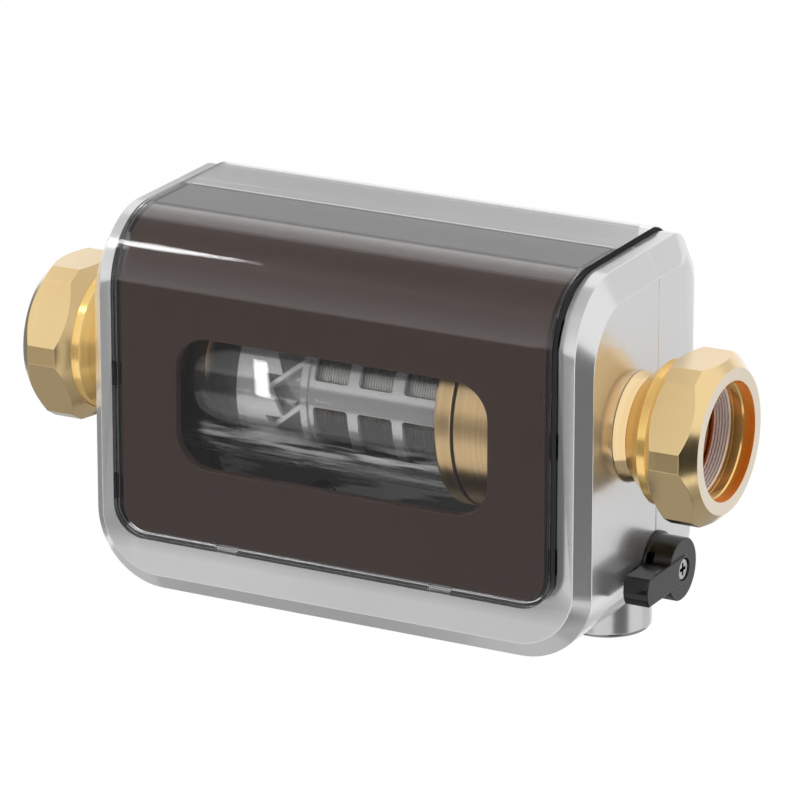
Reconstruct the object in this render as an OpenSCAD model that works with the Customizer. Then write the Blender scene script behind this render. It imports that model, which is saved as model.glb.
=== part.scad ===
// In-line water filter with a clear cover, a swirl and screen cartridge, two union
// nuts and a quarter-turn drain valve. Millimetres, +Z up, +X along the flow.
// The origin is on the pipe axis at the inlet sealing face.

/* [Pipe line] */
// Bore of the tailpieces and of the clean water way
pipe_bore_d = 25; // [20:0.5:26]
// Outside diameter of the tailpiece spigot that screws into a port
spigot_d = 29.8; // [28.5:0.1:31]
// Length of that spigot
spigot_len = 13; // [10:0.5:15]
// Wall of the boss round a port
port_wall = 5; // [3:0.25:6]
// Thickness of the floor behind a port
port_floor_t = 3; // [2:0.25:5]
// Thickness of the flat seal at the bottom of a port
port_seal_t = 2; // [1:0.1:3]
// Length of the round shoulder of the tailpiece, outside the housing wall
shoulder_len = 4.75; // [3:0.25:12]
// Width of that shoulder round the spigot at its outer end
shoulder_rim = 3.3; // [2.5:0.1:4.5]
// Radial growth of that shoulder down to the housing wall
shoulder_taper = 1.5; // [0.5:0.1:3]
// Width of the neck that the nut turns on, round the spigot
tail_neck_w = 1.55; // [1:0.05:2.5]
// Distance that the hexagon socket in the tailpiece stands out beyond its bore
tail_key_out = 0.6; // [0.3:0.1:1]
// Depth of that socket
tail_key_depth = 8; // [5:0.5:12]
// Thickness of the flange that keeps the nut captive
tail_flange_t = 3; // [2:0.1:4]
// Radial gap between that flange and the thread of the nut
flange_gap = 1.75; // [1:0.05:2.5]
// Thickness of the flat washer on the flange
washer_t = 2; // [1:0.1:3]
// Radial step from the bore to the hole in the washer
washer_in = 1; // [0.5:0.1:3]

/* [Union nut] */
// Spanner size of the nut
nut_af = 56.8; // [50:0.2:60]
// Distance that the flattened corners stand out beyond the flats
nut_corner_out = 2.4; // [1:0.1:3.5]
// Distance of the flat ring round the mouth inside the flats
nut_face_in = 2.6; // [0.5:0.1:4]
// Angle of the turned chamfer, measured from the axis
nut_chamfer_angle = 46; // [20:1:60]
// Angle of the chamfer on the body side, measured from the axis
nut_back_angle = 50; // [30:1:60]
// Distance that this chamfer starts inside the flats
nut_back_in = 2.4; // [0.5:0.1:4]
// Distance of the round collar on the body side inside the flats
nut_collar_in = 2.6; // [0.5:0.1:4]
// Length of that collar
nut_collar_len = 3.1; // [2:0.1:6]
// Length of the cone behind that collar
nut_cone_len = 7.1; // [2:0.1:9]
// Wall of the nut at the thin end of that cone
nut_cone_wall = 2.2; // [1.2:0.1:3]
// Root diameter of the thread
nut_thread_d = 41.9; // [40:0.1:44]
// Length of the thread beyond the sealing face
nut_thread_len = 7.6; // [6:0.1:12]
// Radial step from the thread root to the smooth mouth
nut_mouth_step = 0.3; // [0.1:0.05:1]
// Length of the smooth mouth
nut_mouth_len = 9; // [4:0.2:14]
// Radial step from the thread root to the relief round the washer
nut_relief_step = 0.75; // [0.4:0.05:1.5]
// Length of the nut behind the flange, with the cone
nut_lip_t = 8.4; // [4:0.1:12]

/* [Housing] */
// Width of the housing between its side walls
body_w = 197.5; // [190:0.5:230]
// Distance from the pipe axis to the back
body_back = 50; // [46:0.5:70]
// Height of the rim over the pipe axis
body_top = 58.5; // [56:0.5:75]
// Radius of the two lower corners, seen from the front
bottom_corner_r = 27; // [20:0.5:30]
// Width of the bevel round the side walls
edge_bevel = 5; // [3:0.25:7]
// Drop of that bevel along the top
top_bevel = 9.5; // [6:0.5:12]
// Rise of that bevel along the bottom
bottom_bevel = 6.4; // [4:0.2:9]
// Radius of the front top corner, seen from the side
front_top_r = 28; // [20:0.5:30]
// Radius of the back top corner, seen from the side
back_top_r = 12; // [9:0.5:14]
// Wall of the shells
shell_wall = 3.2; // [2.4:0.1:3.8]
// Thickness of the top edge, which also carries the cover
top_wall = 6.5; // [6:0.1:9]
// Depth of the slope from the front rim down to the cover
rim_dish = 0.8; // [0.2:0.1:0.9]
// Place of the seam between the shells, behind the pipe axis
seam_y = 16.7; // [16:0.1:20]

/* [Cover and fascia] */
// Distance from the side wall to the clear cover
bezel_w = 11.65; // [9:0.05:15]
// Distance from the underside to the lower edge of the cover
bezel_low = 20.9; // [16:0.1:26]
// Distance that the cover stands proud of the front rim
cover_proud = 3.8; // [3:0.1:6]
// Distance that the cover stands proud of the top rim
cover_rise = 2; // [1:0.1:4]
// Thickness of the cover
cover_t = 2.4; // [1.6:0.1:3]
// Distance from the top rim down to the back edge of the cover
cover_back_drop = 14.5; // [12:0.5:18]
// Radius of the lower corners of the cover
cover_corner_r = 12; // [6:0.5:18]
// Outer radius of the cover over the front top edge
cover_front_r = 27; // [18:0.5:32]
// Outer radius of the cover over the back top edge
cover_back_r = 15; // [10:0.5:18]
// Width of a snap tab of the cover
tab_w = 9; // [5:0.5:12]
// Thickness of a snap tab and of the skirt round the cover
tab_t = 1.6; // [1:0.1:2]
// Depth that a snap tab reaches below the fascia
tab_grip = 1.5; // [0.5:0.1:2]
// Distance between the two snap tabs along the lower edge
tab_spacing = 85; // [50:1:110]
// Height of the lower side tabs over the lower edge
tab_low = 17.5; // [10:0.5:24]
// Distance from one side tab up to the next
tab_step = 42; // [30:0.5:60]
// Place of a side tab on the front top curve, as an angle up from level
tab_bend_angle = 23; // [0:1:60]
// Distance from the edge of the cover to the fascia panel and the top trim
fascia_in = 3.2; // [2.5:0.1:5]
// Distance from the lower edge of the cover to the fascia panel
fascia_low_in = 2.5; // [1:0.1:6]
// Thickness of the fascia panel and of the top trim
fascia_t = 2.4; // [1.6:0.1:2.8]
// Gap between the fascia panel and the collar ring behind it
fascia_gap = 1.75; // [1:0.05:6]
// Radius of the lower corners of the fascia
fascia_corner_r = 9; // [4:0.5:14]
// Place of the line between fascia and top trim, in front of the pipe axis
fascia_end_y = 16.5; // [8:0.5:20]
// Place of the back edge of the top trim, behind the pipe axis
trim_end_y = 9; // [2:0.5:11]
// Width of the land that carries the back edge of the top trim
trim_land = 3; // [2:0.5:5]
// Distance from the side edge of the fascia to the window
window_in = 22.4; // [15:0.1:40]
// Height of the window
window_h = 48.5; // [30:0.5:60]
// Distance of the middle of the window below the pipe axis
window_drop = 3.75; // [0:0.25:8]
// Radius of the window corners
window_r = 13; // [4:0.5:15]
// Wall of the lip behind the window
window_lip_w = 2; // [1:0.1:4]
// Width of the ledge that carries the fascia and the cover
ledge_w = 6.5; // [5:0.5:9]

/* [Cartridge] */
// Outside diameter of the clear chamber
chamber_d = 68; // [64:0.5:80]
// Wall of the chamber
chamber_wall = 3.5; // [2:0.1:4]
// Thickness of the closed end of the chamber
chamber_end_t = 3; // [2:0.25:6]
// Bevel round that end
chamber_bevel = 2; // [1:0.25:4]
// Free length in front of the dome
dome_gap = 10; // [6:0.5:14]
// Length of the dome
dome_len = 22; // [16:0.5:26]
// Wall of the dome
dome_wall = 4; // [2:0.25:6]
// Thickness of the black ring behind the dome
dome_ring_t = 3; // [2:0.1:5]
// Distance that this ring stands out beyond the dome
dome_ring_out = 0.8; // [0.2:0.1:1.2]
// Gap between the chamber and the swirl ring
swirl_gap = 1.5; // [0.8:0.1:3]
// Length of the swirl ring
swirl_len = 28; // [20:0.5:32]
// Wall of the two sleeves of the swirl ring
sleeve_wall = 2; // [1.2:0.1:3]
// Length of the outer sleeve, up to the tips of its teeth
sleeve_len = 18.5; // [14:0.5:22]
// Length of a tooth of that sleeve
tooth_len = 7.5; // [4:0.5:10]
// Number of teeth, and of swirl vanes
vane_count = 12; // [8:1:16]
// Angle of the vanes to the axis
vane_angle = 38; // [20:1:45]
// Thickness of a vane
vane_t = 1.6; // [1:0.1:2.5]
// Length of the rim that closes the swirl ring
swirl_rim_len = 2.5; // [1.5:0.25:5]
// Radial step from the swirl ring down to the screen cage
cage_step = 1; // [0.5:0.1:2]
// Wall of the screen cage
cage_wall = 1.8; // [1.2:0.1:2.5]
// Number of long bars round the cage
cage_bars = 6; // [4:1:8]
// Number of windows along the cage
cage_rows = 3; // [2:1:4]
// Width of a long bar
cage_bar_w = 6.5; // [4:0.5:12]
// Width of a ring rib of the cage
cage_rib_w = 4; // [2:0.5:6]
// Turn of the first long bar from the top to the front
cage_turn = 84; // [0:1:90]
// Length of the collar of the cage that slides on the clean water tube
cage_foot_len = 7; // [4:0.5:9]
// Gap between the cage and the wound screen
screen_gap = 1.2; // [0.6:0.1:3]
// Wall of the wound screen
screen_wall = 2; // [1.5:0.1:3]
// Step from one turn of profile wire to the next
wire_step = 1; // [0.8:0.1:3]
// Depth of the groove between two turns
wire_depth = 0.45; // [0.3:0.05:1]
// Gap between the screen and the core sleeve
core_gap = 1; // [0.5:0.1:2]
// Wall of the brass end cap round the chamber
cap_wall = 2; // [1.5:0.1:4]
// Length of the end cap
cap_len = 18.15; // [15:0.05:24]
// Depth of the socket that takes the end of the chamber
socket_len = 9; // [6:0.5:12]
// Length of the collar ring on the chamber
collar_len = 6.8; // [4:0.2:9]
// Distance that the collar ring stands out beyond the end cap
collar_step = 0.4; // [0.1:0.1:1]
// Bevel on the edge of the collar ring
collar_bevel = 1; // [0.4:0.1:1.5]
// Thickness of the black seal behind the collar
collar_seal_t = 0.8; // [0.5:0.1:1.5]
// Wall of the clean water tube, beyond the spigot radius
tube_wall = 2; // [1.5:0.1:3]
// Width of the dirt pocket round that tube
pocket_w = 8.5; // [6:0.25:10]
// Wall round the dirt pocket
pocket_wall = 3.5; // [2.5:0.1:5]

/* [Drain valve] */
// Diameter of the valve ball
ball_d = 18; // [15:0.5:20]
// Bore of the drain way
drain_bore_d = 11; // [8:0.5:11.5]
// Outside diameter of the valve body
valve_d = 28; // [27:0.2:31]
// Gap between the valve body and the side wall
valve_side_gap = 1.55; // [0.5:0.05:4]
// Distance from the manifold down to the valve body
valve_gap = 7.1; // [3:0.1:12]
// Wall of the manifold boss round the drain way
boss_wall = 5.5; // [4:0.25:6.5]
// Depth of the socket that takes the manifold boss
boss_socket_len = 6; // [4:0.25:9]
// Thickness of the flat seal in that socket
valve_seal_t = 1.5; // [1:0.1:2.5]
// Thickness of the floor under that seal
valve_floor_t = 2; // [1.5:0.1:4]
// Height of the upper ball seat over the ball
seat_over = 2; // [1:0.1:4]
// Height of the lower ball seat under the ball
seat_under = 3.5; // [2:0.1:5]
// Gap between the ball and the wall of its chamber
ball_room = 0.6; // [0.4:0.05:1.5]
// Diameter of the stem
stem_d = 7; // [6:0.2:8]
// Width of the square end of the stem
stem_square = 4.9; // [4:0.1:5.5]
// Thickness of the tang that turns the ball
tang_t = 3; // [2:0.1:4]
// Depth of that tang in the ball
tang_depth = 2.4; // [1.5:0.1:3]
// Wall of the gland round the stem
gland_wall = 1.5; // [1:0.1:2.5]
// Length of the gland
gland_len = 4; // [3:0.1:5]
// Wall of the stem tube round the gland
stem_tube_wall = 1.5; // [1:0.1:2]
// Distance from the ball to the first rubber ring on the stem
ring_start = 2; // [1.5:0.1:3]
// Distance from one rubber ring to the next
ring_step = 2; // [1.8:0.1:3]
// Thickness of a rubber ring
ring_t = 1; // [0.6:0.1:1.2]
// Wall of the spout round the valve body
spout_wall = 2; // [1:0.1:4]
// Distance that the spout stands out below the housing
spout_proud = 3.6; // [2:0.1:12]
// Bevel on the lower edge of the spout
spout_bevel = 1.5; // [0.5:0.1:2.5]
// Thickness of the web between the valve body and the thread
spout_web = 2.5; // [1.5:0.1:5]
// Root diameter of the thread in the spout
spout_thread_d = 21; // [18:0.1:23]
// Length of that thread
spout_thread_len = 10.5; // [8:0.25:14]

/* [Lever] */
// Diameter of the hub
hub_d = 22.8; // [18:0.2:26]
// Length of the hub
hub_len = 11; // [9:0.5:14]
// Distance that the thin foot of the hub stands out beyond it
hub_foot_out = 0.9; // [0.5:0.1:3]
// Thickness of that foot
hub_foot_t = 1; // [1:0.1:3]
// Thickness of the floor between the stem and the screw recess
hub_floor_t = 2; // [1.2:0.1:3]
// Reach of the blade from the stem axis
blade_len = 30; // [22:0.5:40]
// Height of the blade
blade_h = 10.4; // [7:0.2:14]
// Thickness of the blade along the stem
blade_t = 9.5; // [6:0.25:9.5]
// Distance that the blade stands proud of the end of the hub
blade_proud = 0.7; // [0.3:0.1:1.5]
// Radius of the free end of the blade
blade_end_r = 7.8; // [5.5:0.1:12]
// Width of the notch between the hub foot and the blade
notch_w = 2.4; // [1.5:0.1:4]
// Depth of that notch
notch_depth = 5; // [2:0.25:7]
// Diameter of the screw recess
recess_d = 8; // [7:0.2:10]
// Depth of the screw recess
recess_depth = 3; // [2:0.1:4]
// Shank diameter of the lever screw
lever_screw_d = 3; // [2.5:0.1:3.5]
// Length of the lever screw under its head
lever_screw_len = 8; // [6:0.5:9]

/* [Fasteners and fits] */
// Shank diameter of a housing screw
screw_d = 3.8; // [3:0.1:4.4]
// Length of a housing screw under its head
screw_len = 18.7; // [15:0.1:21]
// Head diameter of a housing screw
screw_head_d = 7.6; // [6:0.2:8.4]
// Height of that head
screw_head_h = 2.8; // [2:0.1:4]
// Width of the slots of a cross drive
drive_w = 1.2; // [0.8:0.1:1.6]
// Length of the slots of a cross drive
drive_len = 4.6; // [3:0.1:5.5]
// Outside diameter of a screw post
post_d = 11; // [10.5:0.5:13]
// Distance from the seam to the seat of a screw head
post_seat = 8; // [5:0.5:12]
// Free room round a post and past the end of a screw
post_room = 2.5; // [1.5:0.1:4]
// Distance from the side wall to the upper posts
post_side = 7.5; // [6.5:0.25:12]
// Distance from the spout to the lower posts
post_spout_gap = 14; // [9:0.5:30]
// Thickness of a rib that ties a post to its wall
rib_t = 2; // [1:0.1:3]
// Gap between fixed pieces that seat on each other
seat_gap = 0.05; // [0.02:0.01:0.1]
// Radial gap of a turning fit
turn_gap = 0.05; // [0.03:0.01:0.1]
// Gap round a snap tab in its slot
tab_gap = 0.25; // [0.1:0.05:0.5]
// Open gap beside a moving piece
free_gap = 0.3; // [0.3:0.05:0.5]

/* [Hidden] */
$fn = 64;
past = 1;
tiny = 0.01;
// Share of a bevel that a round edge takes off at half its turn
round_in = 1 - cos(45);
// Radii of the water ways, from the pipe axis outwards
bore_r = pipe_bore_d / 2;
spigot_r = spigot_d / 2;
port_boss_r = spigot_r + port_wall;
pocket_in_r = spigot_r + tube_wall;
pocket_out_r = pocket_in_r + pocket_w;
waist_r = pocket_out_r + pocket_wall;
// Radii of the cartridge, from the chamber inwards
chamber_r = chamber_d / 2;
chamber_in_r = chamber_r - chamber_wall;
swirl_r = chamber_in_r - swirl_gap;
cage_r = swirl_r - cage_step;
cage_in_r = cage_r - cage_wall;
screen_r = cage_in_r - screen_gap;
core_r = screen_r - screen_wall - core_gap;
cap_r = chamber_r + cap_wall;
collar_r = cap_r + collar_step;
// Heights of the drain valve, measured up from the middle of the ball
ball_r = ball_d / 2;
cavity_r = ball_r + ball_room;
cavity_top = ball_r + seat_over;
seal_low = cavity_top + valve_floor_t;
socket_floor = seal_low + valve_seal_t;
valve_top = socket_floor + boss_socket_len;
valve_low = -ball_r - seat_under;
// Depths below the pipe axis
ball_z = waist_r + valve_gap + valve_top;
spout_low = ball_z - valve_low + spout_web + spout_thread_len;
body_bottom = spout_low - spout_proud;
// Distances of the cover, the fascia and the rim from the pipe axis
under_cover = cover_t + seat_gap;
ledge_depth = under_cover + fascia_t + seat_gap;
cover_front = collar_r + fascia_gap + fascia_t + under_cover;
body_front = cover_front - cover_proud;
cover_top = body_top + cover_rise;
cover_low = body_bottom - bezel_low;
cover_back_low = body_top - cover_back_drop;
cover_w = body_w - 2 * bezel_w;
fascia_w = cover_w - 2 * fascia_in;
fascia_low = cover_low - fascia_low_in;
window_w = fascia_w - 2 * window_in;
// Stations along the pipe axis, counted from the middle of the housing
wall_x = body_w / 2;
inner_x = wall_x - shell_wall;
shoulder_end_x = wall_x + shoulder_len;
seat_x = shoulder_end_x + nut_lip_t + 2 * free_gap + tail_flange_t + washer_t;
flange_out_x = seat_x - washer_t;
flange_in_x = flange_out_x - tail_flange_t;
nut_shoulder_x = flange_in_x - free_gap;
nut_back_x = nut_shoulder_x - nut_lip_t;
nut_face_x = seat_x + nut_thread_len + nut_mouth_len;
spigot_end_x = wall_x - spigot_len;
port_floor_x = spigot_end_x - port_seal_t;
chamber_end_x = port_floor_x - port_floor_t;
chamber_in_x = chamber_end_x - chamber_end_t;
dome_tip_x = dome_gap - chamber_in_x;
dome_back_x = dome_tip_x + dome_len;
swirl_x = dome_back_x + dome_ring_t;
screen_x = swirl_x + swirl_len;
drain_x = inner_x - valve_side_gap - valve_d / 2;
cap_end_x = drain_x - valve_d / 2 - tube_wall;
cap_x = cap_end_x - cap_len;
collar_end_x = cap_x - collar_seal_t;
collar_x = collar_end_x - collar_len;
screen_len = collar_x - screen_x;
pocket_end_x = drain_x + drain_bore_d / 2;
waist_end_x = pocket_end_x + port_floor_t;
// Sizes of the nut, the flange and the washer that follow the thread
nut_mouth_d = nut_thread_d + 2 * nut_mouth_step;
nut_relief_d = nut_thread_d + 2 * nut_relief_step;
tail_flange_d = nut_thread_d - 2 * flange_gap;
washer_hole_d = pipe_bore_d + 2 * washer_in;
// Radii of the hole in the housing, and of the shoulder and the neck of the tailpiece
port_hole_r = spigot_r + free_gap;
shoulder_end_r = port_hole_r + shoulder_rim;
tail_neck_r = port_hole_r + tail_neck_w;
// Sizes of the valve that follow the stem and the body
boss_r = drain_bore_d / 2 + boss_wall;
gland_r = stem_d / 2 + gland_wall;
stem_tube_r = gland_r + stem_tube_wall;
spout_r = valve_d / 2 + spout_wall;
spout_top = -stem_tube_r - free_gap;
wall_from_ball = wall_x - drain_x;
gland_x = wall_from_ball - shell_wall - gland_len;
tube_end_x = wall_from_ball - shell_wall - free_gap;
ring_stations = [ball_r + ring_start, ball_r + ring_start + ring_step];
groove_w = 1.4 * ring_t;
groove_r = stem_d / 2 - 1.1 * ring_t;
// Stations of the lever, measured from the middle of the ball
hub_x = wall_from_ball + free_gap;
hub_end_x = hub_x + hub_len;
recess_x = hub_end_x - recess_depth;
stem_end_x = recess_x - hub_floor_t;
// Places of the four housing screws: X, Z
post_side_x = inner_x - post_side;
post_high_z = cover_back_low - post_d / 2 - post_room;
post_low_x = drain_x - spout_r - post_spout_gap;
post_low_z = bottom_bevel + post_d / 2 + post_room - body_bottom;
post_places = [
    [-post_side_x, post_high_z], [post_side_x, post_high_z],
    [-post_low_x, post_low_z], [post_low_x, post_low_z]];
head_seat_y = seam_y + post_seat;
screw_tip_y = head_seat_y - screw_len;

// Moves a piece from the middle of the housing to the origin at the inlet face
module placed() translate([seat_x, 0, 0]) children();

// The side of the part that the inlet fittings are on
module inlet_side() mirror([1, 0, 0]) children();

// Turned solid about the pipe axis from [radius, station] points
module turned(points) rotate([0, 90, 0]) rotate_extrude() polygon(points);

// Plain ring about the pipe axis
module ring(x0, x1, r_in, r_out) turned([[r_in, x0], [r_out, x0], [r_out, x1], [r_in, x1]]);

// Solid round bar along X
module bar(x0, x1, r) translate([x0, 0, 0]) rotate([0, 90, 0]) cylinder(r = r, h = x1 - x0);

// Six-sided bar along X with a corner to the front
module hex_bar(x0, x1, across)
    translate([x0, 0, 0]) rotate([0, 90, 0])
        rotate([0, 0, 90]) cylinder(d = across / cos(30), h = x1 - x0, $fn = 6);

// Six-sided bar along X whose corners are cut flat
module nut_bar(x0, x1, across, corner_out) intersection() {
    hex_bar(x0, x1, across);
    rotate([30, 0, 0]) hex_bar(x0 - past, x1 + past, across + 2 * corner_out);
}

// What a round corner takes off a square one at the origin
module corner(r) difference() {
    translate([-past, -past]) square(r + past);
    translate([r, r]) circle(r);
}

// Rectangle with its own radius at the low corners and at each high corner
module round_box(x0, y0, x1, y1, r_low, r_left, r_right) difference() {
    translate([x0, y0]) square([x1 - x0, y1 - y0]);
    translate([x0, y0]) corner(r_low);
    translate([x1, y0]) mirror([1, 0]) corner(r_low);
    translate([x0, y1]) mirror([0, 1]) corner(r_left);
    translate([x1, y1]) mirror([1, 0]) mirror([0, 1]) corner(r_right);
}

// Extrudes a side view, drawn as Y and Z, over a width along X
module across_x(width) rotate([90, 0, 90]) linear_extrude(width, center = true) children();

// Extrudes a front view, drawn as X and Z, from y0 to y1
module through_y(y0, y1) translate([0, y1, 0]) rotate([90, 0, 0]) linear_extrude(y1 - y0) children();

// Everything behind a plane across Y, or above one across Z
module behind(y) translate([-body_w, y, -2 * body_bottom]) cube([2 * body_w, 4 * body_back, 4 * body_bottom]);
module above(z) translate([-body_w, -2 * body_front, z]) cube([2 * body_w, 6 * body_back, 4 * body_top]);

// One layer of the housing form: a side view crossed with a front view
module form_layer(half_w, front, back, top, low, low_r, front_r, back_r) intersection() {
    across_x(2 * half_w) round_box(-front, -low - past, back, top, tiny, front_r, back_r);
    through_y(-front - past, back + past)
        round_box(-half_w, -low, half_w, top + past, low_r, tiny, tiny);
}

// Rounded housing form: straight bevels in front, round edges behind
module housing_form(inset, top_inset) hull() {
    form_layer(
        wall_x - inset, body_front - edge_bevel - inset, body_back - edge_bevel - inset,
        body_top - top_bevel - top_inset, body_bottom - inset, bottom_corner_r - inset,
        front_top_r - edge_bevel - inset, back_top_r - inset, $fn = 80);
    form_layer(
        wall_x - edge_bevel - inset, body_front - inset, body_back - inset,
        body_top - top_inset, body_bottom - bottom_bevel - inset,
        bottom_corner_r - edge_bevel - inset, front_top_r - inset, back_top_r - inset, $fn = 80);
    form_layer(
        wall_x - round_in * edge_bevel - inset, body_front - (1 - round_in) * edge_bevel - inset,
        body_back - round_in * edge_bevel - inset, body_top - (1 - round_in) * top_bevel - top_inset,
        body_bottom - round_in * bottom_bevel - inset, bottom_corner_r - round_in * edge_bevel - inset,
        front_top_r - (1 - round_in) * edge_bevel - inset, back_top_r - inset, $fn = 80);
}

// Slope of the front rim from its crease down to the edge of the cover
module rim_slope() hull() {
    through_y(-body_front - past, -body_front) round_box(
        edge_bevel - wall_x, bottom_bevel - body_bottom, wall_x - edge_bevel, 2 * body_top,
        bottom_corner_r - edge_bevel, tiny, tiny, $fn = 80);
    through_y(-body_front, rim_dish - body_front) cover_outline(0, $fn = 80);
}

// Side view of the space inside the cover's outer face, at a distance below it
module cover_view(depth) round_box(
    depth - cover_front, -2 * body_bottom, body_back - depth, cover_top - depth,
    tiny, cover_front_r - depth, cover_back_r - depth);

// Front view of the cover, grown by a gap
module cover_outline(gap) round_box(
    -cover_w / 2 - gap, -cover_low - gap, cover_w / 2 + gap, 2 * body_top,
    cover_corner_r + gap, tiny, tiny);

// Seat in the shells, from the given depth below the cover's outer face and outwards
module cover_seat(depth, y0, y1) difference() {
    through_y(y0, y1) cover_outline(seat_gap);
    across_x(cover_w + 2 * past) cover_view(depth);
}

// One snap tab that points inwards along Y from the cover's outer face at the origin
module snap_tab(size_x, size_z, gap)
    translate([-size_x / 2 - gap, cover_t / 2, -size_z / 2 - gap])
        cube([size_x + 2 * gap, ledge_depth + tab_grip - cover_t / 2, size_z + 2 * gap]);

// Snap tabs of the cover, or the slots that take them when grown by a gap
module snap_tabs(gap) for (s = [-1, 1]) {
    side_x = s * (cover_w - tab_t) / 2;
    translate([s * tab_spacing / 2, -cover_front, tab_t / 2 - cover_low]) snap_tab(tab_w, tab_t, gap);
    for (i = [0, 1])
        translate([side_x, -cover_front, tab_low - cover_low + i * tab_step]) snap_tab(tab_t, tab_w, gap);
    translate([side_x, cover_front_r - cover_front, cover_top - cover_front_r])
        rotate([-tab_bend_angle, 0, 0])
            translate([0, -cover_front_r, 0]) snap_tab(tab_t, tab_w, gap);
}

// Both shells before they are parted at the seam
module housing() difference() {
    housing_form(0, 0);
    housing_form(shell_wall, top_wall);
    for (s = [-1, 1]) scale([s, 1, 1])
        bar(spigot_end_x, wall_x + past, port_hole_r);
    translate([drain_x, seam_y, -ball_z]) {
        bar(0, wall_from_ball + past, gland_r);
        bar(0, wall_from_ball - shell_wall, stem_tube_r + free_gap);
    }
    translate([drain_x, seam_y, -spout_low - past])
        cylinder(r = spout_r + free_gap, h = spout_low + past - ball_z + stem_tube_r);
}

// Screw posts between two planes, each tied to the nearest wall by a rib
module posts(y0, y1) for (p = post_places) {
    rib_len = min(y1, body_back - edge_bevel - shell_wall) - y0;
    mid_wall = shell_wall / 2;
    translate([p[0], y0, p[1]]) rotate([-90, 0, 0]) cylinder(d = post_d, h = y1 - y0);
    if (p[1] < 0)
        translate([p[0] - rib_t / 2, y0, mid_wall - body_bottom])
            cube([rib_t, rib_len, p[1] + body_bottom - mid_wall]);
    else
        translate([p[0] > 0 ? p[0] : -inner_x - mid_wall, y0, p[1] - rib_t / 2])
            cube([inner_x + mid_wall - abs(p[0]), rib_len, rib_t]);
}

// Holes down the posts
module post_holes(y0, y1, r) for (p = post_places)
    translate([p[0], y0, p[1]]) rotate([-90, 0, 0]) cylinder(r = r, h = y1 - y0);

// Silver front shell: rim, side walls and floor in front of the seam
module front_shell() color("gainsboro") placed() difference() {
    union() {
        difference() {
            housing();
            behind(seam_y);
        }
        posts(screw_tip_y - 2 * post_room, seam_y);
    }
    rim_slope();
    cover_seat(ledge_depth, -2 * body_front, trim_end_y + seat_gap);
    cover_seat(under_cover, trim_end_y, seam_y + past);
    through_y(-2 * body_front, trim_end_y - trim_land) round_box(
        ledge_w - cover_w / 2, ledge_w - cover_low, cover_w / 2 - ledge_w, 2 * body_top,
        cover_corner_r / 2, tiny, tiny);
    snap_tabs(tab_gap);
    post_holes(screw_tip_y - post_room, seam_y + past, screw_d / 2 + seat_gap);
}

// Silver rear shell: back wall and the walls behind the seam
module rear_shell() color("lightgray") placed() difference() {
    union() {
        intersection() {
            housing();
            behind(seam_y);
        }
        posts(seam_y, body_back - shell_wall / 2);
    }
    intersection() {
        cover_seat(under_cover, seam_y - past, 2 * body_back);
        above(cover_back_low - seat_gap);
    }
    post_holes(seam_y - past, body_back + past, screw_d / 2 + seat_gap);
    post_holes(head_seat_y, body_back + past, screw_head_d / 2 + free_gap);
}

// Clear cover over the front, the top and the back edge, with a skirt round its edge
module clear_cover() color([0.75, 0.78, 0.8, 0.35]) placed() {
    difference() {
        intersection() {
            through_y(-2 * body_front, 2 * body_back) cover_outline(0);
            across_x(cover_w) cover_view(0);
        }
        intersection() {
            through_y(-2 * body_front, 2 * body_back) cover_outline(-tab_t);
            across_x(cover_w) cover_view(cover_t);
        }
        intersection() {
            behind(trim_end_y - seat_gap);
            across_x(cover_w + 2 * past) cover_view(cover_t);
        }
        across_x(cover_w + 2 * past) cover_view(ledge_depth - seat_gap);
        difference() {
            behind(0);
            above(cover_back_low);
        }
    }
    snap_tabs(0);
}

// Sheet that follows the inside of the cover
module under_sheet() difference() {
    across_x(fascia_w) cover_view(under_cover);
    across_x(fascia_w + 2 * past) cover_view(under_cover + fascia_t);
}

// Front view of the window, grown by a wall
module window_outline(wall) translate([0, -window_drop]) round_box(
    -window_w / 2 - wall, -window_h / 2 - wall, window_w / 2 + wall, window_h / 2 + wall,
    window_r + wall, window_r + wall, window_r + wall);

// Brown fascia with a lipped window, bent over the front top edge
module fascia_panel() color("#483e3c") placed() difference() {
    back_y = under_cover + fascia_t - cover_front;
    union() {
        intersection() {
            under_sheet();
            through_y(-2 * body_front, -fascia_end_y) round_box(
                -fascia_w / 2, -fascia_low, fascia_w / 2, 2 * body_top, fascia_corner_r, tiny, tiny);
        }
        through_y(back_y - fascia_t / 2, -collar_r - free_gap) window_outline(window_lip_w);
    }
    through_y(-2 * body_front, -collar_r + past) window_outline(0);
}

// Grey trim strip along the top, between the fascia and the shells
module top_trim() color("#9a9a97") placed() difference() {
    intersection() {
        under_sheet();
        behind(seat_gap - fascia_end_y);
        above(0);
    }
    behind(trim_end_y - seat_gap);
}

// Cross-shaped drive cut in a screw head that faces +Z
module cross_drive(depth) for (turn = [0, 90])
    rotate([0, 0, turn]) translate([-drive_len / 2, -drive_w / 2, -depth])
        cube([drive_len, drive_w, depth + past]);

// Four pan-head screws, driven from the back
module housing_screws() color("silver") placed() for (p = post_places)
    translate([p[0], head_seat_y, p[1]]) rotate([-90, 0, 0]) difference() {
        union() {
            translate([0, 0, -screw_len]) cylinder(d = screw_d, h = screw_len + past);
            translate([0, 0, seat_gap]) cylinder(d = screw_head_d, h = screw_head_h);
        }
        translate([0, 0, screw_head_h + seat_gap]) cross_drive(screw_head_h / 2);
    }

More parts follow.
